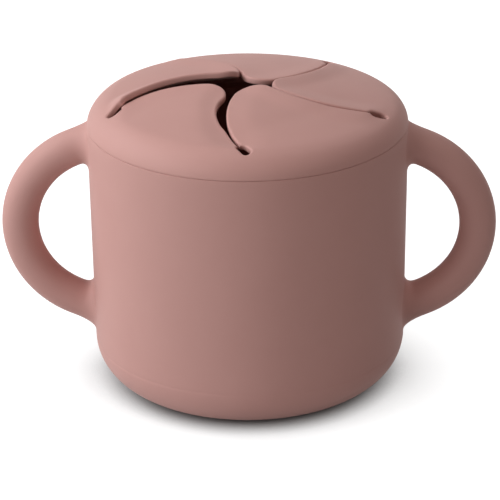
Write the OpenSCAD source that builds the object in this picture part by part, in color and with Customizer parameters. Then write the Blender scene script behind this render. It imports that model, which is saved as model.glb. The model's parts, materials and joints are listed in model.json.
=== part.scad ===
// Toddler snack cup: a soft silicone cup with two loop handles, and a soft domed lid
// whose five curved flaps let a small hand in and spring back to keep the snacks inside.
// Millimetres. +Z is up, +X points through the right handle, and the cup stands on z = 0.

/* [Cup] */
// Outside diameter just under the seam with the lid
cup_d = 90; // [86:0.5:100]
// How far each side of the wall draws in from the seam down to the rounded base
draw_in = 0.8; // [0:0.1:4]
// Radius of the rounding between wall and base
base_round = 13; // [8:0.5:20]
// Height of the shoulder that the lid closes against
seam_z = 76.4; // [64:0.2:100]
// Thickness of the wall
wall = 3; // [2:0.1:4]
// Thickness of the floor
floor_t = 3.5; // [2:0.1:6]
// Diameter of the shallow recess under the base
foot_d = 52; // [30:1:56]
// Depth of the recess under the base
foot_recess = 0.6; // [0.3:0.1:1.5]

/* [Rim under the lid] */
// Width of the shoulder, from the cup's outside to the thin rim that stands on it
shoulder = 3.5; // [3:0.1:5]
// Thickness of the rim
rim_t = 2.4; // [1.6:0.1:3]
// Height of the rim above the shoulder
rim_h = 2.7; // [2:0.1:2.8]
// Radius of the rim's top edge
rim_round = 1.1; // [0.5:0.1:1.2]
// How far the snap bead stands out of the rim
bead_out = 0.5; // [0.3:0.05:0.6]
// Height of the bead's middle above the shoulder
bead_z = 1.4; // [1.1:0.1:1.6]
// Radius of the bead's section
bead_round = 0.7; // [0.6:0.05:0.9]

/* [Handles] */
// Thickness of the round handle
handle_d = 10.4; // [8:0.2:13]
// Radius of the loop, measured to the middle of its thickness
handle_r = 25.2; // [20:0.2:28]
// How far the loop's centre lies inside the cup's outside
handle_in = 5.4; // [2:0.2:9]
// Distance from the seam down to the top of a handle, measured at the wall
handle_drop = 1.2; // [1:0.1:3]
// Radius of the fillet where a handle runs into the wall
handle_fillet = 3; // [1:0.5:4]

/* [Lid] */
// Height of the middle of the dome above the seam
lid_rise = 10.2; // [9.4:0.1:12]
// Rise of the dome from the lid's edge to its middle
dome_rise = 6.3; // [5:0.1:7]
// Radius of the rounding round the lid's edge
lid_round = 5.7; // [5:0.1:6.5]
// Thickness of the dome and of the flaps
lid_t = 1.8; // [1.4:0.1:2]

/* [Slits and flaps] */
// Distance from the lid's outside in to the round end of each slit
slit_inset = 6.7; // [6.4:0.1:11]
// How far each slit bows out of the straight line to the middle
slit_bow = 6; // [4:0.1:7]
// Width of the slits
slit_w = 0.7; // [0.6:0.05:1.2]
// Width of the hole at the end of a slit
hole_w = 2.8; // [2:0.1:3.4]
// Length of the hole at the end of a slit
hole_l = 5; // [4:0.1:6]
// Radius of the rounded tip of each flap
tip_round = 6.5; // [4:0.1:7.5]
// How far the line on which a flap folds lies inside the line between its two holes
fold_in = 2; // [1.9:0.05:2.6]
// Direction of the first slit, seen from above
lid_turn = -90; // [-180:1:180]
// How far each flap's tip stands up at rest, in degrees, in the order of the flap nodes
flap_rest = [5, 4, 1, 6, 0]; // [0:0.5:8]

/* [Fits] */
// Clearance between the rim and the lid's skirt, and between rim and dome
rim_gap = 0.3; // [0.2:0.05:0.4]
// Gap at the seam
seam_gap = 0.2; // [0.1:0.05:0.3]
// Gap at the root of each flap
root_gap = 0.3; // [0.25:0.05:0.5]

/* [Hidden] */
$fn = 96;

flap_count = 5;
step = 360 / flap_count;
over = 1;                       // how far a cutting shape runs past the face it cuts

cup_r = cup_d / 2;
base_r = cup_r - draw_in;
rim_r = cup_r - shoulder;
skirt_r = rim_r + rim_gap;      // inside radius of the lid's skirt
handle_tube_r = handle_d / 2;
flare_r = handle_tube_r + handle_fillet;
handle_x = cup_r - handle_in;
root_rise = sqrt(handle_r * handle_r - handle_in * handle_in);
handle_z = seam_z - handle_drop - handle_tube_r - root_rise;

// The dome is part of a ball, and the lid's edge is an arc that runs smoothly into it.
lid_top = seam_z + lid_rise;
lid_bottom = seam_z + seam_gap;
dome_r = (cup_r * cup_r + dome_rise * dome_rise) / (2 * dome_rise);
dome_centre_z = lid_top - dome_r;
edge_x = cup_r - lid_round;
edge_reach = dome_r - lid_round;
edge_z = dome_centre_z + sqrt(edge_reach * edge_reach - edge_x * edge_x);

// Each slit is an arc from its end hole to the axis. Seen along the slit, with its hole
// towards +X, it bows to -Y.
slit_end_r = cup_r - slit_inset;
slit_r = slit_end_r * slit_end_r / (8 * slit_bow) + slit_bow / 2;
slit_centre = [slit_end_r / 2, slit_r - slit_bow];
slit_end_angle = 2 * atan(2 * slit_bow / slit_end_r);

// A flap is described with its middle towards +X, between a slit on each side.
half_step = step / 2;
root_x = slit_end_r * cos(half_step);
root_half_w = slit_end_r * sin(half_step);
fold_x = root_x - fold_in;
low_centre = turned(slit_centre, -half_step);
high_centre = turned(slit_centre, half_step);
inner_r = slit_r - slit_w / 2;
outer_r = slit_r + slit_w / 2;
fold_high_y = high_centre[1] - sqrt(pow(outer_r, 2) - pow(fold_x - high_centre[0], 2));
fold_z = (dome_z(fold_x) + dome_z(norm([root_x, root_half_w - hole_w])) - lid_t) / 2;

edge_points = 24;               // points along each long edge of a flap
tip_points = 12;                // points round its tip

// The tip's circle touches both edges of the flap from inside.
tip_centre = meeting_point(low_centre, inner_r - tip_round, high_centre, outer_r + tip_round);
tip_low = low_centre + (tip_centre - low_centre) * inner_r / (inner_r - tip_round);
tip_high = high_centre + (tip_centre - high_centre) * outer_r / (outer_r + tip_round);

// Turns a point about the axis.
function turned(p, a) = [p[0] * cos(a) - p[1] * sin(a), p[0] * sin(a) + p[1] * cos(a)];

// Direction of a point from the origin.
function heading(p) = atan2(p[1], p[0]);

// Points along an arc, without its first one.
function arc(centre, r, from, to, count) =
    [for (i = [1 : count]) let (a = from + (to - from) * i / count) centre + r * [cos(a), sin(a)]];

// Outside radius of the cup at a height above the rounded base.
function wall_r(z) = base_r + (cup_r - base_r) * (z - base_round) / (seam_z - base_round);

// How far from the axis a handle's flare ends, so that its whole edge is inside the round wall.
function flare_foot(z) = sqrt(pow(wall_r(z - flare_r), 2) - pow(flare_r, 2));

// Height of the dome's outer face at a distance from the axis.
function dome_z(r) = dome_centre_z + sqrt(dome_r * dome_r - r * r);

// The point, of the two where a pair of circles cross, that is nearer to the axis.
function meeting_point(c1, r1, c2, r2) =
    let (gap = norm(c2 - c1),
         along = (c2 - c1) / gap,
         across = [-along[1], along[0]],
         a = (r1 * r1 - r2 * r2 + gap * gap) / (2 * gap),
         h = sqrt(r1 * r1 - a * a),
         p = c1 + a * along + h * across,
         q = c1 + a * along - h * across)
    norm(p) < norm(q) ? p : q;

module silicone() {
    color([0.76, 0.57, 0.53]) children();
}

// ---- Cup ----

// Half section of a tub with a rounded lower edge, from the axis outwards.
module tub_section(bottom_z, low_r, top_r, top_z, round_r) {
    polygon([[0, bottom_z], [low_r - round_r, bottom_z], [low_r - round_r, bottom_z + round_r],
             [low_r, bottom_z + round_r], [top_r, top_z], [0, top_z]]);
    intersection() {
        translate([low_r - round_r, bottom_z + round_r]) circle(round_r);
        translate([low_r - round_r, bottom_z]) square(round_r);
    }
}

// Everything inside the cup's outer face, up to a height.
module cup_outside(top_z) {
    rotate_extrude() tub_section(0, base_r, wall_r(top_z), top_z, base_round);
}

// Half section of the rim, with a rounded top edge and the bead that the lid snaps over.
module rim_section() {
    top_z = seam_z + rim_h;
    mouth_r = rim_r - rim_t;
    translate([mouth_r, seam_z - over]) square([rim_t, over + rim_h - rim_round]);
    translate([mouth_r, seam_z]) square([rim_t - rim_round, rim_h]);
    translate([rim_r - rim_round, top_z - rim_round]) circle(rim_round);
    translate([rim_r + bead_out - bead_round, seam_z + bead_z]) circle(bead_round);
}

// Half section of the hollow. It narrows under the shoulder to the width of the mouth.
module hollow_section() {
    mouth_r = rim_r - rim_t;
    inside_r = cup_r - wall;
    neck_z = seam_z - wall;
    tub_section(floor_t, base_r - wall, inside_r, neck_z - (inside_r - mouth_r), base_round - wall);
    polygon([[0, neck_z - (inside_r - mouth_r)], [inside_r, neck_z - (inside_r - mouth_r)],
             [mouth_r, neck_z], [mouth_r, seam_z + rim_h + over], [0, seam_z + rim_h + over]]);
}

module cup_body() {
    silicone() difference() {
        union() {
            cup_outside(seam_z);
            rotate_extrude() rim_section();
        }
        rotate_extrude() hollow_section();
        translate([0, 0, -over]) cylinder(h = foot_recess + over, d = foot_d);
    }
}

// ---- Handles ----

// Fillet round a handle's end: a ring that flares towards the wall at z = 0.
module handle_flare() {
    rotate_extrude() difference() {
        translate([0, -handle_fillet]) square([flare_r, 2 * handle_fillet]);
        translate([flare_r, handle_fillet]) circle(handle_fillet);
    }
}

module handle() {
    silicone() difference() {
        union() {
            translate([handle_x, 0, handle_z]) rotate([90, 0, 0])
                rotate_extrude() translate([handle_r, 0]) circle(handle_tube_r);
            for (z = [handle_z - root_rise, handle_z + root_rise]) {
                translate([flare_foot(z), 0, z]) rotate([0, 90, 0]) handle_flare();
            }
        }
        cup_outside(seam_z + flare_r);
    }
}

module handle_right() {
    handle();
}

module handle_left() {
    mirror([1, 0, 0]) handle();
}

// ---- Lid ----

// Half section of everything under a dome face that lies a depth below the outer one.
module dome_section(depth) {
    reach = dome_r + over;
    intersection() {
        translate([0, dome_centre_z]) circle(dome_r - depth, $fn = 720);
        polygon([[0, dome_centre_z], [reach * edge_x / edge_reach,
                 dome_centre_z + reach * (edge_z - dome_centre_z) / edge_reach],
                 [edge_x, lid_top + dome_rise], [0, lid_top + dome_rise]]);
    }
    translate([edge_x, edge_z]) circle(lid_round - depth);
}

// The whole lid before its slits are cut: dome, rounded edge and the skirt with its groove.
module lid_blank() {
    rotate_extrude() difference() {
        intersection() {
            dome_section(0);
            translate([0, lid_bottom]) square([cup_r + over, lid_rise]);
        }
        intersection() {
            dome_section(lid_t);
            square([skirt_r, lid_top]);
        }
        translate([0, lid_bottom - over]) square([skirt_r, over + edge_z + over - lid_bottom]);
        translate([rim_r + bead_out - bead_round, seam_z + bead_z]) circle(bead_round + rim_gap);
    }
}

// Places a child, drawn with the hole of a slit towards +X, at every slit.
module at_slits() {
    for (i = [0 : flap_count - 1]) rotate([0, 0, lid_turn + i * step]) children();
}

// The long round-ended hole that stops a slit from tearing further.
module slit_hole() {
    half = (hole_l - hole_w) / 2;
    translate([slit_end_r, 0, lid_bottom]) rotate([0, 0, slit_end_angle])
        linear_extrude(lid_rise + over) {
            for (x = [-half, half]) translate([x, 0]) circle(d = hole_w);
            square([2 * half, hole_w], center = true);
        }
}

// The outline between two slits, with its root cut off straight at the fold line.
module flap_field(low_r, high_r) {
    intersection() {
        difference() {
            translate(low_centre) circle(low_r, $fn = 240);
            translate(high_centre) circle(high_r, $fn = 240);
        }
        translate([fold_x - 2 * slit_end_r, -slit_end_r]) square(2 * slit_end_r);
    }
}

// The flap's own outline: along one slit, round the tip, back along the other slit, and past
// the fold line, where the root is then rounded.
module flap_outline() {
    fold_low_y = low_centre[1] - sqrt(pow(inner_r, 2) - pow(fold_x - low_centre[0], 2));
    polygon(concat(
        [[fold_x, fold_low_y]],
        arc(low_centre, inner_r, heading([fold_x, fold_low_y] - low_centre),
            heading(tip_low - low_centre), edge_points),
        arc(tip_centre, tip_round, 360 + heading(tip_low - tip_centre),
            heading(tip_high - tip_centre), tip_points),
        arc(high_centre, outer_r, heading(tip_high - high_centre),
            heading([fold_x, fold_high_y] - high_centre), edge_points),
        [[root_x + over, fold_high_y], [root_x + over, fold_low_y]]));
}

// A round bar along the fold line.
module fold_bar(r, low_y, high_y) {
    translate([fold_x, high_y, fold_z]) rotate([90, 0, 0]) cylinder(h = high_y - low_y, r = r);
}

// What is cut off beyond the flap's root, so that the root is a round bar.
module root_trim() {
    difference() {
        translate([fold_x, -root_half_w - over, lid_bottom])
            cube([fold_in + 2 * over, root_half_w + fold_high_y + 2 * over, lid_rise]);
        fold_bar(fold_in, -root_half_w - 2 * over, fold_high_y + 2 * over);
    }
}

// What is cut out of the lid for a flap: its outline with both slits, and room for its root.
module flap_seat() {
    translate([0, 0, lid_bottom - over])
        linear_extrude(lid_rise + 2 * over) flap_field(outer_r, inner_r);
    fold_bar(fold_in + root_gap, -root_half_w, fold_high_y + root_gap);
}

module lid_rim() {
    silicone() difference() {
        lid_blank();
        at_slits() {
            slit_hole();
            rotate([0, 0, half_step]) flap_seat();
        }
    }
}

// Flap number i, turned up about its fold line by its angle at rest.
module flap(i) {
    middle = lid_turn + half_step + i * step;
    silicone() rotate([0, 0, middle])
        translate([fold_x, 0, fold_z]) rotate([0, flap_rest[i], 0]) translate([-fold_x, 0, -fold_z])
            difference() {
                intersection() {
                    rotate([0, 0, -middle]) lid_blank();
                    translate([0, 0, lid_bottom])
                        linear_extrude(lid_rise + over) flap_outline();
                }
                root_trim();
                rotate([0, 0, -half_step]) slit_hole();
                rotate([0, 0, half_step]) slit_hole();
            }
}

cup_body();
handle_right();
handle_left();
lid_rim();
flap(0);  // flap_front_right
flap(1);  // flap_right
flap(2);  // flap_back
flap(3);  // flap_left
flap(4);  // flap_front_left
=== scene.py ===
"""Toddler snack cup in matte dusty-rose silicone: a cup with two loop handles, and a domed lid
whose five curved flaps part for a small hand."""
import json
import math

import bmesh
import bpy
from mathutils import Matrix, Vector
from mathutils.geometry import interpolate_bezier

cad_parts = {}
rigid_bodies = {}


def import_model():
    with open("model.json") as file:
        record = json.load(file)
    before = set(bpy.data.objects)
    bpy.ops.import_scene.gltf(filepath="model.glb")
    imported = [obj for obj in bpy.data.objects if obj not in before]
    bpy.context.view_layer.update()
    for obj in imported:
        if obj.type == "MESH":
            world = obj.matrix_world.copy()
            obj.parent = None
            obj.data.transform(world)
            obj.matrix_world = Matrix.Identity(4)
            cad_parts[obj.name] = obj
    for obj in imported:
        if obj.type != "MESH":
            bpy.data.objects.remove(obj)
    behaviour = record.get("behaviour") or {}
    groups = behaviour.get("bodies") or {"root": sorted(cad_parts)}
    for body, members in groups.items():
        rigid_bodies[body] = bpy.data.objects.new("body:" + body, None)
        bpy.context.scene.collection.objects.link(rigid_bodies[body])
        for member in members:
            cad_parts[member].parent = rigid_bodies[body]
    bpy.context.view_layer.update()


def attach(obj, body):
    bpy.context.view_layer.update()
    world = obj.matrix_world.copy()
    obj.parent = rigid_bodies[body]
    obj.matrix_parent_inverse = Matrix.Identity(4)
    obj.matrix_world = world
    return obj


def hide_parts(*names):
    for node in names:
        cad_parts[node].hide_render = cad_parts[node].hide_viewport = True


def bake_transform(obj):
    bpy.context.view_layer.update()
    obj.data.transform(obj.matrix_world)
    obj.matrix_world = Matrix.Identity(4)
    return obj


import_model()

MM = 0.001
ROUND_SIDES = 160            # facets round the cup
MERGE = 0.002                # points closer than this become one
SMOOTH_ANGLE = 40.0          # degrees between faces up to which they are shaded as one surface

# ---- Sizes in millimetres, as the frame has them ----
CUP_R = 45.0                 # outside radius under the seam
BASE_R = 44.2                # outside radius above the rounded base
BASE_ROUND = 13.0
WALL_ROWS = range(16, 76, 4)  # heights of the rows of facets up the wall
SEAM_Z = 76.4
WALL = 3.0
FLOOR = 3.5
FOOT_R = 26.0                # shallow recess under the base
FOOT_RECESS = 0.6
FOOT_STEP_IN = 0.5           # the recess's edge, inwards and outwards of its radius
FOOT_STEP_OUT = 0.2
RIM_R = 41.5                 # thin rim that the lid presses over
RIM_T = 2.4
RIM_H = 2.7
RIM_ROUND = 1.1              # its outer and its inner top edge
MOUTH_ROUND = 0.5
BEAD_OUT = 0.5
BEAD_Z = 1.4
BEAD_ROUND = 0.7
SEAM_ROUND = 0.18            # soft edge of the shoulder under the seam
WITNESS_Z = 12.4             # faint moulding line above the base, its depth and half its width
WITNESS_DEPTH = 0.12
WITNESS_HALF = 0.35

LOOP_X = 39.5                # centre of the handle's loop
LOOP_Z = 45.4
LOOP_HALF_W = 25.4           # half axes of the loop's centre line
LOOP_HALF_H = 24.9
TUBE_R = 5.2
ROOT_FILLET = 3.0
ROOT_STRETCH = 1.2           # the fillet reaches this much further along the loop than up the wall
ROOT_BELOW_SEAM = 0.3        # the upper root keeps this far below the seam
ROOT_SUNK = 0.8              # how deep the root is sunk into the wall, and its size there
ROOT_SUNK_SHARE = 0.97
FILLET_FULLNESS = 0.6        # how far the fillet's curve is pulled towards the corner, as a share
FILLET_ROWS = 8
TUBE_SIDES = 40
TUBE_ROWS = 56

LID_TOP = 86.6
LID_BOTTOM = 76.46
DOME_RISE = 6.3
LID_ROUND = 5.7
LID_T = 1.8
SKIRT_T = 2.5
SKIRT_TURN = 50.0            # degrees down the rounded edge at which the wall starts to thicken
SKIRT_BLEND = 25.0
LIP = 0.6                    # soft edge along the slits
LIP_UNDER = 0.3              # the same, under the lid
LIP_STRIP = 0.85             # width of the strip of faces that carries it
SEAM_LIP = 0.18              # soft edge under the lid
SKIRT_EDGE = 0.3             # edges up to this height above the lid's bottom are the skirt's
SQUARE = (70.0, 120.0)       # degrees between the faces of an edge that is softened

SLIT_END_R = 38.3
SLIT_BOW = 6.0
SLIT_W = 0.6
HOLE_W = 2.8
HOLE_L = 5.0
TIP_ROUND = 6.5
CUT_X = 27.6                 # where a flap's piece starts, just inside its fold
FIRST_SLIT = -90.0           # degrees, seen from above
STEP = 72.0
EDGE_STEP = 0.9              # spacing of the points along a slit
TIP_FACETS = 16
HOLE_FACETS = 12

# How each soft flap lies at rest: its lift in degrees, then millimetres: how far its edge along the
# lower and along the higher slit stands up, and how far its tip is drawn back and swayed to the
# side and its high edge bowed in.
FLAPS = {
    "flap_front_right": {"lift": 3.5, "low": -0.6, "high": 0.8, "draw": 0.6, "sway": 0.9, "bow": 0.2},
    "flap_right": {"lift": 1.7, "low": 0.7, "high": 0.8, "draw": 1.9, "sway": -1.8, "bow": 0.4},
    "flap_back": {"lift": -0.1, "low": 0.5, "high": 0.3, "draw": -1.2, "sway": 0.8, "bow": 0.4},
    "flap_left": {"lift": -0.9, "low": 0.9, "high": 2.6, "draw": 1.1, "sway": -1.2, "bow": 0.5},
    "flap_front_left": {"lift": 1.3, "low": 0.5, "high": -0.8, "draw": 3.6, "sway": 0.8, "bow": 1.4},
}
LIFT_START = 6.0             # a flap's lift sets in over this length
LIP_REACH = 8.0              # how far into a flap the height of its edge is felt
LIP_END_R = 40.0             # the height of the edges fades out at the slits' ends
LIP_FADE = 5.0
FLAP_REACH = 28.0            # from the cut to about the tip
BOW_START = 4.0              # the bow sets in over this length from the cut
BOW_LENGTH = 24.0            # and ends at this one
BOW_WIDTH = 10.0             # how far into a flap it is felt
BOW_WAY = (0.8, -0.6)        # which way it goes, in the flap's own frame
DOME_RAISE = 0.9             # how much fuller the pressed-on lid's dome stands in its middle
DOME_TILT = 0.8              # and how much more on its full side, where the slits end
FULL_SIDE = 230.0            # heading of that side in degrees, seen from above
FULL_FADE = 7.0              # stretch at the lid's edge over which this fades out
BEND_START = 0.05            # how far inside its cut a flap starts to bend when it is folded
BEND_LENGTH = 9.0            # and how far inside it the bend ends


# ---- Small geometry helpers, in the plane ----
def arc(centre, radius, start, end, count):
    """Points on an arc in equal steps, both ends included. The angles are in degrees."""
    turns = [math.radians(start + (end - start) * i / count) for i in range(count + 1)]
    return [(centre[0] + radius * math.cos(a), centre[1] + radius * math.sin(a)) for a in turns]


def turned(point, degrees):
    """A point of the plan, turned about the axis."""
    a = math.radians(degrees)
    x, y = point[0], point[1]
    return (x * math.cos(a) - y * math.sin(a), x * math.sin(a) + y * math.cos(a))


def heading(point, centre=(0.0, 0.0)):
    """Direction in which a point lies from a centre, in degrees."""
    return math.degrees(math.atan2(point[1] - centre[1], point[0] - centre[0]))


def smooth(t):
    """An even rise from 0 to 1 that starts and ends gently."""
    t = min(max(t, 0.0), 1.0)
    return t * t * (3 - 2 * t)


def mixed(a, b, t):
    return a + (b - a) * t


def straight(start, end, count):
    """Points between two others, without them."""
    return [(mixed(start[0], end[0], i / count), mixed(start[1], end[1], i / count))
            for i in range(1, count)]


# ---- Working on meshes ----
def deselect_all():
    if bpy.context.object and bpy.context.object.mode != "OBJECT":
        bpy.ops.object.mode_set(mode="OBJECT")
    bpy.ops.object.select_all(action="DESELECT")


def new_piece(name):
    """An empty mesh, open in edit mode."""
    deselect_all()
    piece = bpy.data.objects.new(name, bpy.data.meshes.new(name))
    bpy.context.scene.collection.objects.link(piece)
    bpy.context.view_layer.objects.active = piece
    piece.select_set(True)
    bpy.ops.object.mode_set(mode="EDIT")
    return piece


def open_for_edit(piece, mode):
    """Opens a piece in edit mode with nothing selected."""
    deselect_all()
    bpy.context.view_layer.objects.active = piece
    piece.select_set(True)
    bpy.ops.object.mode_set(mode="EDIT")
    bpy.ops.mesh.select_mode(type=mode)
    bpy.ops.mesh.select_all(action="DESELECT")


def edit_mesh(piece):
    mesh = bmesh.from_edit_mesh(piece.data)
    mesh.verts.ensure_lookup_table()
    return mesh


def add_loop(piece, points):
    """A closed loop of edges through the points. Gives the numbers of its first vertex and of
    the one that follows its last."""
    bpy.ops.mesh.select_all(action="DESELECT")
    first = len(edit_mesh(piece).verts)
    bpy.ops.mesh.primitive_circle_add(vertices=len(points), radius=1.0)
    mesh = edit_mesh(piece)
    for vertex, point in zip(mesh.verts[first:], points):
        vertex.co = Vector((point[0], point[1], point[2] if len(point) > 2 else 0.0)) * MM
    bmesh.update_edit_mesh(piece.data)
    return first, first + len(points)


def loft(piece, rings):
    """Rows of faces through rings of equally many points, which run in the same order."""
    loops = [add_loop(piece, ring) for ring in rings]
    mesh = edit_mesh(piece)
    count = len(rings[0])
    for (lower, _), (upper, _) in zip(loops, loops[1:]):
        for i in range(count):
            k = (i + 1) % count
            mesh.faces.new([mesh.verts[n] for n in (lower + i, upper + i, upper + k, lower + k)])
    bmesh.update_edit_mesh(piece.data)


def rows_between(inner, outer, count):
    """Rings in equal steps from one ring to another, both included."""
    return [[(mixed(p[0], q[0], i / count), mixed(p[1], q[1], i / count))
             for p, q in zip(inner, outer)] for i in range(count + 1)]


def merge_doubles():
    bpy.ops.mesh.select_all(action="SELECT")
    bpy.ops.mesh.remove_doubles(threshold=MERGE * MM)


def close_piece():
    """Outward normals and smooth shading for the active piece, back in object mode."""
    bpy.ops.mesh.select_all(action="SELECT")
    bpy.ops.mesh.normals_make_consistent(inside=False)
    bpy.ops.object.mode_set(mode="OBJECT")
    bpy.ops.object.shade_smooth_by_angle(angle=math.radians(SMOOTH_ANGLE))


def apply_modifier(piece, kind, **settings):
    """Puts a modifier on a piece and applies it."""
    modifier = piece.modifiers.new(kind.title(), kind)
    for name, value in settings.items():
        setattr(modifier, name, value)
    deselect_all()
    bpy.context.view_layer.objects.active = piece
    piece.select_set(True)
    bpy.ops.object.modifier_apply(modifier=modifier.name)


def spun(name, profile):
    """A body of revolution about the upright axis, from its half section."""
    piece = new_piece(name)
    bpy.ops.object.mode_set(mode="OBJECT")
    points = [Vector((r, 0.0, z)) * MM for r, z in profile]
    piece.data.from_pydata(points, [(i, i + 1) for i in range(len(points) - 1)], [])
    bpy.ops.object.mode_set(mode="EDIT")
    bpy.ops.mesh.select_all(action="SELECT")
    bpy.ops.mesh.spin(steps=ROUND_SIDES, angle=math.tau, center=(0, 0, 0), axis=(0, 0, 1))
    merge_doubles()
    close_piece()
    return piece


# ---- Cup ----
MOUTH_R = RIM_R - RIM_T


def wall_radius(z):
    """Outside radius of the cup's wall at a height."""
    return mixed(BASE_R, CUP_R, (z - BASE_ROUND) / (SEAM_Z - BASE_ROUND))


def base_arc():
    """The rounded base, with the faint moulding line in it."""
    points = []
    for r, z in arc((BASE_R - BASE_ROUND, BASE_ROUND), BASE_ROUND, -90, 0, 60):
        near = max(0.0, 1 - abs(z - WITNESS_Z) / WITNESS_HALF)
        points.append((r - WITNESS_DEPTH * near, z))
    return points


def outside_profile():
    """From the middle of the recessed foot, round the base and up to the seam."""
    points = [(0, FOOT_RECESS), (FOOT_R - FOOT_STEP_IN, FOOT_RECESS), (FOOT_R, FOOT_RECESS * 0.6),
              (FOOT_R + FOOT_STEP_OUT, 0)]
    points += base_arc()
    points += [(wall_radius(z), z) for z in WALL_ROWS]
    points += arc((CUP_R - SEAM_ROUND, SEAM_Z - SEAM_ROUND), SEAM_ROUND, 0, 90, 5)
    return points


def rim_profile():
    """The thin rim with its snap bead, from the seam up and over to the mouth."""
    bead_r = RIM_R + BEAD_OUT - BEAD_ROUND
    bead_turn = math.degrees(math.acos((RIM_R - bead_r) / BEAD_ROUND))
    top = SEAM_Z + RIM_H
    points = [(RIM_R, SEAM_Z)]
    points += arc((bead_r, SEAM_Z + BEAD_Z), BEAD_ROUND, -bead_turn, bead_turn, 8)
    points += arc((RIM_R - RIM_ROUND, top - RIM_ROUND), RIM_ROUND, 0, 90, 6)
    points += arc((MOUTH_R + MOUTH_ROUND, top - MOUTH_ROUND), MOUTH_ROUND, 90, 180, 3)
    return points


def inside_profile():
    """From the mouth down the inside of the wall to the middle of the floor."""
    inside_r = CUP_R - WALL
    neck_z = SEAM_Z - WALL
    inner_round = BASE_ROUND - WALL
    points = [(MOUTH_R, neck_z), (inside_r, neck_z - (inside_r - MOUTH_R))]
    points += arc((BASE_R - BASE_ROUND, FLOOR + inner_round), inner_round, 0, -90, 14)
    return points + [(0, FLOOR)]


def make_cup():
    return spun("cup_shell", outside_profile() + rim_profile() + inside_profile())


# ---- Handles ----
ROOT_TURN = math.acos((CUP_R - LOOP_X) / LOOP_HALF_W)      # where the loop's centre line meets the wall
TUBE_TURN = ROOT_TURN - (ROOT_FILLET + ROOT_STRETCH) / LOOP_HALF_W      # where the round tube ends


def loop_point(angle):
    """A point of the loop's centre line and the direction in which the line runs there."""
    c, s = math.cos(angle), math.sin(angle)
    point = Vector((LOOP_X + LOOP_HALF_W * c, 0, LOOP_Z + LOOP_HALF_H * s))
    along = Vector((-LOOP_HALF_W * s, 0, LOOP_HALF_H * c)).normalized()
    return point, along


def tube_ring(angle):
    """One ring of the round tube, square to its centre line."""
    point, along = loop_point(angle)
    out = Vector((along.z, 0, -along.x))
    side = Vector((0, 1, 0))
    turns = [math.tau * i / TUBE_SIDES for i in range(TUBE_SIDES)]
    return [point + TUBE_R * (out * math.cos(t) + side * math.sin(t)) for t in turns]


def on_wall(y, z):
    """The point of the cup's wall at a height, on the right side."""
    return Vector((math.sqrt(wall_radius(z) ** 2 - y * y), y, z))


def fillet_curve(tube_end, turn, sign):
    """Points from the wall to a point of the tube's end, in a curve that touches both."""
    root, _ = loop_point(sign * ROOT_TURN)
    _, along = loop_point(sign * TUBE_TURN)
    into_wall = along * sign
    foot_r = TUBE_R + ROOT_FILLET
    up = math.cos(turn) * sign
    height = min(foot_r, SEAM_Z - ROOT_BELOW_SEAM - root.z) if up > 0 else foot_r
    foot = on_wall(foot_r * math.sin(turn), root.z + height * up)
    steps = (wall_radius(tube_end.z) - tube_end.x) / into_wall.x
    corner = tube_end + into_wall * steps
    corner = on_wall(corner.y, corner.z)
    return interpolate_bezier(foot, mixed(foot, corner, FILLET_FULLNESS),
                              mixed(tube_end, corner, FILLET_FULLNESS), tube_end, FILLET_ROWS)


def root_rings(sign):
    """Rings from inside the wall to the tube's end, at the upper (1) or the lower (-1) root."""
    root, _ = loop_point(sign * ROOT_TURN)
    curves = [fillet_curve(tube_end, math.tau * i / TUBE_SIDES, sign)
              for i, tube_end in enumerate(tube_ring(sign * TUBE_TURN))]
    rings = [list(ring) for ring in zip(*curves)]
    sunk = [Vector((p.x - ROOT_SUNK, p.y * ROOT_SUNK_SHARE, root.z + (p.z - root.z) * ROOT_SUNK_SHARE))
            for p in rings[0]]
    return [sunk] + rings


def make_handle(name, side):
    """The handle on the right (1) or on the left (-1)."""
    tube = [tube_ring(-TUBE_TURN + 2 * TUBE_TURN * i / TUBE_ROWS) for i in range(1, TUBE_ROWS)]
    rings = root_rings(-1) + tube + root_rings(1)[::-1]
    piece = new_piece(name)
    loft(piece, [[(p.x * side, p.y, p.z) for p in ring] for ring in rings])
    bpy.ops.mesh.select_all(action="SELECT")
    bpy.ops.mesh.fill_holes(sides=TUBE_SIDES)
    close_piece()
    return piece


# ---- Lid: laid out flat, cut by the slits, then wrapped over its dome ----
DOME_R = (CUP_R ** 2 + DOME_RISE ** 2) / (2 * DOME_RISE)
DOME_CENTRE_Z = LID_TOP - DOME_R
EDGE_X = CUP_R - LID_ROUND
EDGE_TURN = math.asin(EDGE_X / (DOME_R - LID_ROUND))      # where the dome meets the rounded edge
EDGE_Z = DOME_CENTRE_Z + (DOME_R - LID_ROUND) * math.cos(EDGE_TURN)
FLAT_DOME = DOME_R * EDGE_TURN                             # length over the dome, from the middle
FLAT_END = FLAT_DOME + LID_ROUND * (math.acos((LID_BOTTOM - EDGE_Z) / LID_ROUND) - EDGE_TURN)

FLAT_CIRCLE = 43.3            # in the flat layout, a circle just outside the holes at the slits' ends
FAN_REACH = 9.0               # how far outside the slits the rows of faces are fanned out evenly
FAN_PASSES = 12
RIM_START = 12                # the rows' first point, in the middle of a flap's root
DOME_ROWS = 20
SKIRT_ROWS = 12

SLIT_R = SLIT_END_R ** 2 / (8 * SLIT_BOW) + SLIT_BOW / 2
SLIT_CENTRE = (SLIT_END_R / 2, SLIT_R - SLIT_BOW)
SLIT_END_TURN = math.degrees(2 * math.atan(2 * SLIT_BOW / SLIT_END_R))
LOW_CENTRE = turned(SLIT_CENTRE, -STEP / 2)
HIGH_CENTRE = turned(SLIT_CENTRE, STEP / 2)
INNER_R = SLIT_R - SLIT_W / 2
OUTER_R = SLIT_R + SLIT_W / 2


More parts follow.
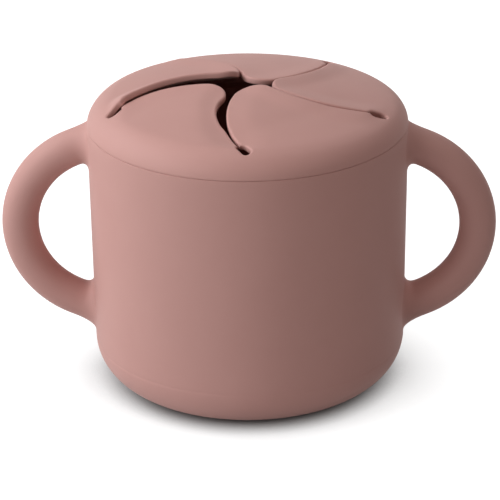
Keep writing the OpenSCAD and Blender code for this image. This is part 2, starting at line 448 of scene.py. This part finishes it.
def meeting_points(c1, r1, c2, r2):
    """The two points where a pair of circles cross, the one nearer to the axis first."""
    gap = math.dist(c1, c2)
    along = ((c2[0] - c1[0]) / gap, (c2[1] - c1[1]) / gap)
    a = (r1 * r1 - r2 * r2 + gap * gap) / (2 * gap)
    h = math.sqrt(r1 * r1 - a * a)
    base = (c1[0] + a * along[0], c1[1] + a * along[1])
    points = [(base[0] - k * h * along[1], base[1] + k * h * along[0]) for k in (1, -1)]
    return sorted(points, key=lambda p: math.hypot(*p))


def toward(centre, point, radius):
    """The point at a radius from the centre, in the direction of another point."""
    scale = radius / math.dist(centre, point)
    return (centre[0] + (point[0] - centre[0]) * scale, centre[1] + (point[1] - centre[1]) * scale)


TIP_CENTRE = meeting_points(LOW_CENTRE, INNER_R - TIP_ROUND, HIGH_CENTRE, OUTER_R + TIP_ROUND)[0]
TIP_LOW = toward(LOW_CENTRE, TIP_CENTRE, INNER_R)
TIP_HIGH = toward(HIGH_CENTRE, TIP_CENTRE, OUTER_R)


def hole_centres(slit_turn):
    """The middles of the two round ends of a slit's hole, the inner one first."""
    middle = turned((SLIT_END_R, 0), slit_turn)
    half = (HOLE_L - HOLE_W) / 2
    step = turned((half, 0), slit_turn + SLIT_END_TURN)
    return ((middle[0] - step[0], middle[1] - step[1]), (middle[0] + step[0], middle[1] + step[1]))


def edge_arc(centre, radius, start, end):
    """Evenly spaced points on a slit's edge, between two places on it."""
    a, b = heading(start, centre), heading(end, centre)
    length = abs(math.radians(b - a)) * radius
    return arc(centre, radius, a, b, max(1, round(length / EDGE_STEP)))


def cut_point(centre, radius):
    """Where a slit's edge crosses the line on which a flap's piece starts."""
    return (CUT_X, centre[1] - math.sqrt(radius ** 2 - (CUT_X - centre[0]) ** 2))


def blade_edge():
    """A flap's free edge in its own frame: in along one slit, round the tip, out along the other."""
    tip_start = heading(TIP_LOW, TIP_CENTRE) + 360
    tip_end = heading(TIP_HIGH, TIP_CENTRE)
    low = edge_arc(LOW_CENTRE, INNER_R, cut_point(LOW_CENTRE, INNER_R), TIP_LOW)
    tip = arc(TIP_CENTRE, TIP_ROUND, tip_start, tip_end, TIP_FACETS)
    high = edge_arc(HIGH_CENTRE, OUTER_R, TIP_HIGH, cut_point(HIGH_CENTRE, OUTER_R))
    return low + tip[1:] + high[1:]


def hole_edge():
    """From a flap's high edge round the hole to the next flap's low edge, in the flap's frame."""
    near, far = hole_centres(STEP / 2)
    across = STEP / 2 + SLIT_END_TURN
    half = HOLE_W / 2
    enter = meeting_points(HIGH_CENTRE, OUTER_R, near, half)[0]
    leave = meeting_points(HIGH_CENTRE, INNER_R, near, half)[0]
    first = edge_arc(HIGH_CENTRE, OUTER_R, cut_point(HIGH_CENTRE, OUTER_R), enter)
    side = arc(near, half, heading(enter, near), across - 90, 2)
    end = arc(far, half, across - 90, across + 90, HOLE_FACETS)
    back = arc(near, half, across + 90, heading(leave, near) + 360, 2)
    next_low = turned(cut_point(LOW_CENTRE, INNER_R), STEP)
    last = edge_arc(HIGH_CENTRE, INNER_R, leave, next_low)
    out = straight(side[-1], end[0], 3)
    home = straight(end[-1], back[0], 3)
    return first[1:] + side[1:] + out + end + home + back + last[1:-1]


def mid_angle(index):
    """Direction of the middle of a flap, in degrees. The flaps are counted from the front right."""
    return FIRST_SLIT + STEP * (index + 0.5)


def flattened(point):
    """A point of the plan, moved to where it lies when the dome is laid out flat."""
    r = math.hypot(*point)
    scale = DOME_R * math.asin(r / DOME_R) / r
    return (point[0] * scale, point[1] * scale)


def moved_sideways(points, distance):
    """A closed loop moved to the left of its own direction."""
    moved = []
    for i, (x, y) in enumerate(points):
        before, after = points[i - 1], points[(i + 1) % len(points)]
        dx, dy = after[0] - before[0], after[1] - before[1]
        length = math.hypot(dx, dy)
        moved.append((x - dy / length * distance, y + dx / length * distance))
    return moved


def eased(points, passes):
    """A closed loop with its corners softened."""
    for _ in range(passes):
        points = [((a[0] + 2 * b[0] + c[0]) / 4, (a[1] + 2 * b[1] + c[1]) / 4)
                  for a, b, c in zip(points[-1:] + points, points, points[1:] + points[:1])]
    return points


def slit_loops():
    """The closed edge of the five slits and the star between them, and which of its points lie
    on which flap: (points, strip points, [(first, last)] of the flaps)."""
    edge, spans = [], []
    for index in range(len(FLAPS)):
        blade = [flattened(turned(p, mid_angle(index))) for p in blade_edge()]
        hole = [flattened(turned(p, mid_angle(index))) for p in hole_edge()]
        spans.append((len(edge), len(edge) + len(blade) - 1))
        edge += blade + hole
    return edge, eased(moved_sideways(edge, -LIP_STRIP), passes=3), spans


def dome_point(flat):
    """Where a point of the flat layout lies on the lid's outer face."""
    length = math.hypot(flat.x, flat.y) / MM
    if length < FLAT_DOME:
        r, z = DOME_R * math.sin(length / DOME_R), DOME_CENTRE_Z + DOME_R * math.cos(length / DOME_R)
    else:
        turn = EDGE_TURN + (length - FLAT_DOME) / LID_ROUND
        r, z = EDGE_X + LID_ROUND * math.sin(turn), EDGE_Z + LID_ROUND * math.cos(turn)
    scale = r / length if length else 1.0
    return Vector((flat.x * scale, flat.y * scale, z * MM))


# ---- Building the lid ----
def label_faces(piece, slot, belongs):
    """Puts the faces for which belongs(face) holds into a material slot."""
    for face in edit_mesh(piece).faces:
        if belongs(face):
            face.material_index = slot
    bmesh.update_edit_mesh(piece.data)


def lay_strip(piece, edge, strip, spans):
    """The narrow strip of faces along the slits, in which their soft edge is made."""
    loft(piece, [edge, strip])
    for index, (first, last) in enumerate(spans):
        label_faces(piece, index + 1,
                    lambda face: all(first <= v.index % len(edge) <= last for v in face.verts))


def lay_blade(piece, outline, slot):
    """A grid of faces inside a flap's outline, with a quarter of it on each side."""
    first, last = add_loop(piece, outline)
    mesh = edit_mesh(piece)
    before = len(mesh.faces)
    mesh.select_history.clear()
    mesh.select_history.add(mesh.verts[first])
    bmesh.update_edit_mesh(piece.data)
    bpy.ops.mesh.fill_grid(span=(last - first) // 4)
    label_faces(piece, slot, lambda face: face.index >= before)


def fanned_angles(loop):
    """Headings for the points of a loop, fanned out as its sides face, and evenly spaced."""
    angles = []
    for point in moved_sideways(loop, -FAN_REACH):
        angle = heading(point)
        while angles and angle < angles[-1] - 180:
            angle += 360
        angles.append(angle)
    angles.sort()
    count = len(angles)
    for _ in range(FAN_PASSES):
        before = [angles[-1] - 360] + angles + [angles[0] + 360]
        angles = [(before[i] + before[i + 1] + before[i + 2]) / 3 for i in range(count)]
    return angles


def lay_rim(piece, loop):
    """The lid outside the flaps: rows out to a circle, then level rows over the rounded edge."""
    angles = [math.radians(a) for a in fanned_angles(loop)]
    circles = [[(r * math.cos(a), r * math.sin(a)) for a in angles] for r in (FLAT_CIRCLE, FLAT_END)]
    loft(piece, rows_between(loop, circles[0], DOME_ROWS) + rows_between(*circles, SKIRT_ROWS)[1:])


def flat_lid():
    """The lid's outer face laid out flat, each flap's faces in a material slot of their own."""
    edge, strip, spans = slit_loops()
    piece = new_piece("lid_shell")
    lay_strip(piece, edge, strip, spans)
    rim = []
    for index, (first, last) in enumerate(spans):
        side = strip[first:last + 1]
        root = straight(side[-1], side[0], (len(side) - 1) // 3)
        lay_blade(piece, side + root, index + 1)
        following = spans[index + 1][0] if index + 1 < len(spans) else len(strip)
        rim += strip[first:first + 1] + root[::-1] + strip[last:following]
    lay_rim(piece, rim[RIM_START:] + rim[:RIM_START])
    merge_doubles()
    return piece


def fuller(x, y):
    """How much higher than dead level the dome stands at a point of the plan."""
    r = math.hypot(x, y)
    toward_side = math.cos(math.atan2(y, x) - math.radians(FULL_SIDE))
    return smooth((CUP_R - r) / FULL_FADE) * (DOME_RAISE + DOME_TILT * r / SLIT_END_R * toward_side)


def slit_nearness(place, centre):
    """1 on the slit that is drawn about a centre, and 0 away from it."""
    return smooth(1 - abs(math.dist(place, centre) - SLIT_R) / LIP_REACH)


def bow_at(place, inward, bow):
    """How far a flap is bowed in at a point, from its edge along the higher slit."""
    middle = smooth(inward / BOW_START) * max(0.0, 4 * inward / BOW_LENGTH * (1 - inward / BOW_LENGTH))
    return bow * middle * smooth(1 - abs(math.dist(place, HIGH_CENTRE) - SLIT_R) / BOW_WIDTH)


def flap_at_rest(x, y, z, flap):
    """Where a point of a flap, in the flap's own frame, lies when the lid is left alone."""
    place = (x, y)
    free = smooth((LIP_END_R - math.hypot(x, y)) / LIP_FADE)
    z += free * (flap["low"] * slit_nearness(place, LOW_CENTRE)
                 + flap["high"] * slit_nearness(place, HIGH_CENTRE))
    inward = CUT_X - x
    if inward > 0:
        tip = smooth(inward / FLAP_REACH)
        bow = bow_at(place, inward, flap["bow"])
        x += flap["draw"] * tip + BOW_WAY[0] * bow
        y += flap["sway"] * tip + BOW_WAY[1] * bow
        z += math.tan(math.radians(flap["lift"])) * inward * smooth(inward / LIFT_START)
    return x, y, z


def at_rest(point):
    """A point of the level lid, moved to where it is on the soft lid."""
    x, y, z = point / MM
    for index, flap in enumerate(FLAPS.values()):
        place = turned((x, y), -mid_angle(index))
        if place[0] > 0 and math.dist(place, LOW_CENTRE) < SLIT_R < math.dist(place, HIGH_CENTRE):
            px, py, z = flap_at_rest(*place, z, flap)
            x, y = turned((px, py), mid_angle(index))
            break
    return Vector((x, y, z + fuller(x, y))) * MM


def shape_lid(piece):
    """Wraps the flat layout over the dome and lets the flaps hang."""
    for vertex in edit_mesh(piece).verts:
        vertex.co = at_rest(dome_point(vertex.co))
    bpy.ops.mesh.select_all(action="SELECT")
    bpy.ops.mesh.normals_make_consistent(inside=False)
    if sum(face.normal.z * face.calc_area() for face in edit_mesh(piece).faces) < 0:
        bpy.ops.mesh.flip_normals()
    bpy.ops.object.mode_set(mode="OBJECT")


def wall_share(place):
    """The lid's thickness at a point, as a share of the skirt's."""
    out, up = math.hypot(*place.xy) / MM - EDGE_X, place.z / MM - EDGE_Z
    turn = math.degrees(math.atan2(out, up))
    return mixed(LID_T / SKIRT_T, 1.0, smooth((turn - SKIRT_TURN) / SKIRT_BLEND))


def thicken_lid(piece):
    """Gives the lid its wall, with a level lower edge, and softens its edges."""
    group = piece.vertex_groups.new(name="wall")
    for vertex in piece.data.vertices:
        group.add([vertex.index], wall_share(vertex.co), "REPLACE")
    apply_modifier(piece, "SOLIDIFY", thickness=SKIRT_T * MM, offset=-1.0, use_even_offset=True,
                   vertex_group="wall")
    for vertex in piece.data.vertices:
        vertex.co.z = max(vertex.co.z, LID_BOTTOM * MM)
    soften_edges(piece, slit_side(1), LIP, 4)
    soften_edges(piece, slit_side(-1), LIP_UNDER, 3)
    soften_edges(piece, lambda edge: not in_slit(edge), SEAM_LIP, 3)


def in_slit(edge):
    """Whether an edge that is square belongs to a slit and not to the skirt."""
    return edge.verts[0].co.z > (LID_BOTTOM + SKIRT_EDGE) * MM


def slit_side(side):
    """A test for the edges on the upper (1) or the lower (-1) side of the slits."""
    return lambda edge: in_slit(edge) and any(face.normal.z * side > 0.5 for face in edge.link_faces)


def soften_edges(piece, wanted, width, segments):
    """Rounds the square edges for which wanted(edge) holds."""
    open_for_edit(piece, "EDGE")
    mesh = edit_mesh(piece)
    for edge in mesh.edges:
        square = math.radians(SQUARE[0]) < edge.calc_face_angle(0.0) < math.radians(SQUARE[1])
        edge.select_set(square and wanted(edge))
    bmesh.update_edit_mesh(piece.data)
    bpy.ops.mesh.bevel(offset=width * MM, segments=segments, profile=0.5, affect="EDGES",
                       clamp_overlap=False)
    bpy.ops.object.mode_set(mode="OBJECT")


def open_loops(mesh):
    """The closed rows of vertices round the holes of a mesh."""
    edges = dict.fromkeys(edge for edge in mesh.edges if edge.is_boundary)
    while edges:
        edge, _ = edges.popitem()
        row = [edge.verts[0], edge.verts[1]]
        while row[-1] != row[0]:
            edge = next(e for e in row[-1].link_edges if e in edges)
            del edges[edge]
            row.append(edge.other_vert(row[-1]))
        yield row[:-1]


def rungs_length(row, start):
    """Length of all rungs together, where they are laid across a closed row from this start."""
    count = len(row)
    return sum((row[(start + i) % count].co - row[start - i].co).length for i in range(count // 2))


def close_cut(piece):
    """Closes the cut wall by faces between rungs from its outer to its inner edge."""
    open_for_edit(piece, "VERT")
    mesh = edit_mesh(piece)
    for row in list(open_loops(mesh)):
        count = len(row)
        start = min(range(count), key=lambda place: rungs_length(row, place))
        row = row[start:] + row[:start]
        for i in range((count + 1) // 2):
            corners = dict.fromkeys([row[i], row[i + 1], row[-i - 1], row[-i % count]])
            if len(corners) > 2:
                mesh.faces.new(list(corners))
    bmesh.update_edit_mesh(piece.data)
    close_piece()


def cut_free(piece, slot, name):
    """The faces of a material slot become a piece of their own."""
    open_for_edit(piece, "FACE")
    mesh = edit_mesh(piece)
    for face in mesh.faces:
        face.select_set(face.material_index == slot)
    bmesh.update_edit_mesh(piece.data)
    before = set(bpy.data.objects)
    bpy.ops.mesh.separate(type="SELECTED")
    deselect_all()
    blade = (set(bpy.data.objects) - before).pop()
    blade.name = blade.data.name = name
    return blade


def make_lid():
    """The lid and its five blades, in one moulding and then cut apart at the folds."""
    lid = flat_lid()
    shape_lid(lid)
    thicken_lid(lid)
    blades = [cut_free(lid, index + 1, name + "_blade") for index, name in enumerate(FLAPS)]
    for piece in [lid] + blades:
        close_cut(piece)
        for face in piece.data.polygons:
            face.material_index = 0
        piece.vertex_groups.clear()
    return lid, blades


# ---- Materials ----
class Wire:
    """An output of a shader node, on which arithmetic adds Math nodes. a | b is the larger."""

    def __init__(self, sheet, socket):
        self.sheet = sheet
        self.socket = socket

    def _math(self, operation, *values):
        return self.sheet.node("ShaderNodeMath", {"operation": operation}, dict(enumerate(values)))

    def __add__(self, other):
        return self._math("ADD", self, other)

    __radd__ = __add__

    def __mul__(self, other):
        return self._math("MULTIPLY", self, other)

    __rmul__ = __mul__

    def __or__(self, other):
        return self._math("MAXIMUM", self, other)

    __ror__ = __or__


class Sheet:
    """The node tree of a material or world."""

    def __init__(self, owner):
        owner.use_nodes = True
        self.tree = owner.node_tree
        self.tree.nodes.clear()

    def node(self, kind, settings=None, values=None, output=0):
        """A node with its settings and the values or links of its inputs."""
        new = self.tree.nodes.new(kind)
        for name, value in (settings or {}).items():
            setattr(new, name, value)
        for name, value in (values or {}).items():
            if isinstance(value, Wire):
                self.tree.links.new(value.socket, new.inputs[name])
            else:
                new.inputs[name].default_value = value
        return Wire(self, new.outputs[output]) if len(new.outputs) else None

    def noise(self, size, detail=2.0, roughness=0.5):
        """A noise from 0 to 1 whose features have about this size."""
        place = self.node("ShaderNodeTexCoord", output="Object")
        return self.node("ShaderNodeTexNoise", values={
            "Vector": place, "Scale": 1 / (size * MM), "Detail": detail, "Roughness": roughness})

    def mix_colours(self, factor, a, b):
        return self.node("ShaderNodeMix", {"data_type": "RGBA"},
                         {"Factor": factor, 6: a, 7: b}, output=2)


SILICONE = (0.62, 0.338, 0.300, 1.0)
SILICONE_DEEP = (0.59, 0.313, 0.276, 1.0)
CLOUD_SIZE = 14.0
GRAIN_SIZE = 0.22
GRAIN_DEPTH = 0.02
WAVE_SIZE = 6.0
WAVE_DEPTH = 0.04


def silicone_material():
    """Matte moulded silicone: fine powdery grain, faint cloudiness in its colour."""
    material = bpy.data.materials.new("dusty_rose_silicone")
    sheet = Sheet(material)
    colour = sheet.mix_colours(sheet.noise(CLOUD_SIZE, detail=3.0), SILICONE, SILICONE_DEEP)
    grain = sheet.noise(GRAIN_SIZE, detail=3.0, roughness=0.6)
    waves = sheet.noise(WAVE_SIZE)
    bump = sheet.node("ShaderNodeBump", values={
        "Strength": 0.25, "Distance": GRAIN_DEPTH * MM, "Height": grain})
    bump = sheet.node("ShaderNodeBump", values={
        "Strength": 0.3, "Distance": WAVE_DEPTH * MM, "Height": waves, "Normal": bump})
    shader = sheet.node("ShaderNodeBsdfPrincipled", values={
        "Base Color": colour, "Roughness": 0.56 + 0.12 * grain, "Normal": bump, "IOR": 1.41,
        "Sheen Weight": 0.12, "Sheen Roughness": 0.4, "Sheen Tint": (1.0, 0.9, 0.87, 1.0)})
    sheet.node("ShaderNodeOutputMaterial", values={"Surface": shader})
    return material


# ---- Floor, lights and camera ----
PAPER_SIZE = 8.0              # the floor's side in metres
SHADOW_REACH = 45.0           # how far from the cup, in millimetres, the floor is darkened by its painted shadow


def seen_directly(sheet):
    """1 where the camera, a reflection or a clear body sees the surface, 0 for its light."""
    kinds = [sheet.node("ShaderNodeLightPath", output=name)
             for name in ("Is Camera Ray", "Is Glossy Ray", "Is Transmission Ray")]
    return kinds[0] | kinds[1] | kinds[2]


def floor_material():
    """White paper with a painted shadow: its glow is darkened where the cup hides the room from it, and
    the lamps' own light is added.
    """
    material = bpy.data.materials.new("floor_white_painted_shadow")
    sheet = Sheet(material)
    lit = sheet.node("ShaderNodeBsdfDiffuse", values={"Color": (0.3, 0.3, 0.3, 1)})
    # Painted shadow: ambient occlusion near the cup darkens the floor's glow, which is not a shadow
    # cast by the lamps.
    room = sheet.node("ShaderNodeAmbientOcclusion", {"samples": 16}, {"Distance": SHADOW_REACH * MM},
                      output="AO")
    room = sheet.node("ShaderNodeMapRange", {"interpolation_type": "SMOOTHSTEP"},
                      {"Value": room, "From Min": 0.05, "From Max": 0.8})
    shade = sheet.mix_colours(room, (0, 0, 0, 1), (1, 1, 1, 1))
    painted_shadow_glow = sheet.node("ShaderNodeEmission", values={"Color": shade, "Strength": 1.0})
    white = sheet.node("ShaderNodeAddShader", values={0: lit, 1: painted_shadow_glow})
    grey = sheet.node("ShaderNodeBsdfDiffuse", values={"Color": (0.5, 0.5, 0.5, 1)})
    shader = sheet.node("ShaderNodeMixShader", values={0: seen_directly(sheet), 1: grey, 2: white})
    sheet.node("ShaderNodeOutputMaterial", values={"Surface": shader})
    return material


def make_floor():
    deselect_all()
    bpy.ops.mesh.primitive_plane_add(size=PAPER_SIZE, location=(0, 0, 0))
    floor = bpy.context.object
    floor.name = "floor"
    floor.data.materials.append(floor_material())


def set_world():
    """White where it is seen, and no light of its own, because the lamps give it all."""
    world = bpy.data.worlds.new("studio")
    bpy.context.scene.world = world
    sheet = Sheet(world)
    room = sheet.node("ShaderNodeBackground", values={"Color": (1, 1, 1, 1), "Strength": 0.0})
    white = sheet.node("ShaderNodeBackground", values={"Color": (1, 1, 1, 1), "Strength": 1.0})
    shader = sheet.node("ShaderNodeMixShader", values={0: seen_directly(sheet), 1: room, 2: white})
    sheet.node("ShaderNodeOutputWorld", values={"Surface": shader})


# The lamps: heading and height in degrees as seen from the cup, power in watts, and colour. They are
# round, stand at one distance from the cup and face about its middle. Their places are in metres.
LAMP_TARGET = Vector((0, 0, 0.05))
LAMP_DISTANCE = 1.2
LAMP_SIZE = 0.55
COOL = (0.97, 1.0, 1.03)
WARM = (1.0, 0.82, 0.75)
WHITE = (1.0, 1.0, 1.0)
LAMPS = {
    "window_back": (160, 32, 4.1, COOL),
    "window_front": (200, 32, 4.7, COOL),
    "window_top": (180, 58, 1.9, WHITE),
    "window_low": (200, 8, 2.2, COOL),
    "front_left": (240, 8, 2.4, WHITE),
    "front_right": (320, 32, 1.5, WARM),
    "back_right": (60, 58, 1.4, WHITE),
    "above": (0, 84, 1.6, WHITE),
}


def hang_lamp(name, turn, height, power, colour):
    light = bpy.data.lights.new(name, "AREA")
    light.shape = "DISK"
    light.size = LAMP_SIZE
    light.energy = power
    light.color = colour
    lamp = bpy.data.objects.new(name, light)
    level = math.cos(math.radians(height))
    away = Vector((math.cos(math.radians(turn)) * level, math.sin(math.radians(turn)) * level,
                   math.sin(math.radians(height))))
    lamp.location = LAMP_TARGET + away * LAMP_DISTANCE
    lamp.rotation_euler = (LAMP_TARGET - lamp.location).to_track_quat("-Z", "Y").to_euler()
    bpy.context.scene.collection.objects.link(lamp)


CAMERA_LENS = 220.57
CAMERA_PLACE = (24.58, -799.5, 387.5)      # in millimetres
CAMERA_PAN = 1.74             # degrees: to the left, down, and tilted sideways
CAMERA_DOWN = 23.67
CAMERA_ROLL = -0.63


def aim_camera():
    """The photograph's view: from the front, above, with a very long lens."""
    data = bpy.data.cameras.new("camera")
    data.sensor_width = 36.0
    data.lens = CAMERA_LENS
    camera = bpy.data.objects.new("camera", data)
    camera.location = [distance * MM for distance in CAMERA_PLACE]
    turn = (Matrix.Rotation(math.radians(CAMERA_PAN), 3, "Z")
            @ Matrix.Rotation(math.radians(90 - CAMERA_DOWN), 3, "X")
            @ Matrix.Rotation(math.radians(CAMERA_ROLL), 3, "Z"))
    camera.rotation_euler = turn.to_euler()
    bpy.context.scene.collection.objects.link(camera)
    bpy.context.scene.camera = camera


# ---- Putting it together ----
def finish_piece(piece, material, *nodes):
    """Gives a piece its material and hides the solids of the frame that it stands for."""
    piece.data.materials.clear()
    piece.data.materials.append(material)
    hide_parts(*nodes)


def fold_weighting(piece, name, index):
    """Works out where the blade's bend would start and end, a little inside its cut, but does not use
    them; bakes the blade's placement into its mesh.
    """
    start = turned((CUT_X - BEND_START, 0.0), mid_angle(index))
    end = turned((CUT_X - BEND_LENGTH, 0.0), mid_angle(index))
    start[0] * MM
    start[1] * MM
    end[0] * MM
    end[1] * MM
    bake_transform(piece)


def dress_cup(material):
    cup = make_cup()
    finish_piece(cup, material, "cup_body")
    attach(cup, "cup")
    for name, side in (("handle_right", 1), ("handle_left", -1)):
        handle = make_handle(name + "_loop", side)
        finish_piece(handle, material, name)
        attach(handle, "cup")


def dress_lid(material):
    lid, blades = make_lid()
    finish_piece(lid, material, "lid_rim")
    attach(lid, "lid")
    for index, (name, blade) in enumerate(zip(FLAPS, blades)):
        finish_piece(blade, material, name)
        fold_weighting(blade, name, index)


aim_camera()
silicone = silicone_material()
dress_cup(silicone)
dress_lid(silicone)
make_floor()
set_world()
for lamp_name, lamp_values in LAMPS.items():
    hang_lamp(lamp_name, *lamp_values)
bpy.context.scene.view_settings.view_transform = "Standard"
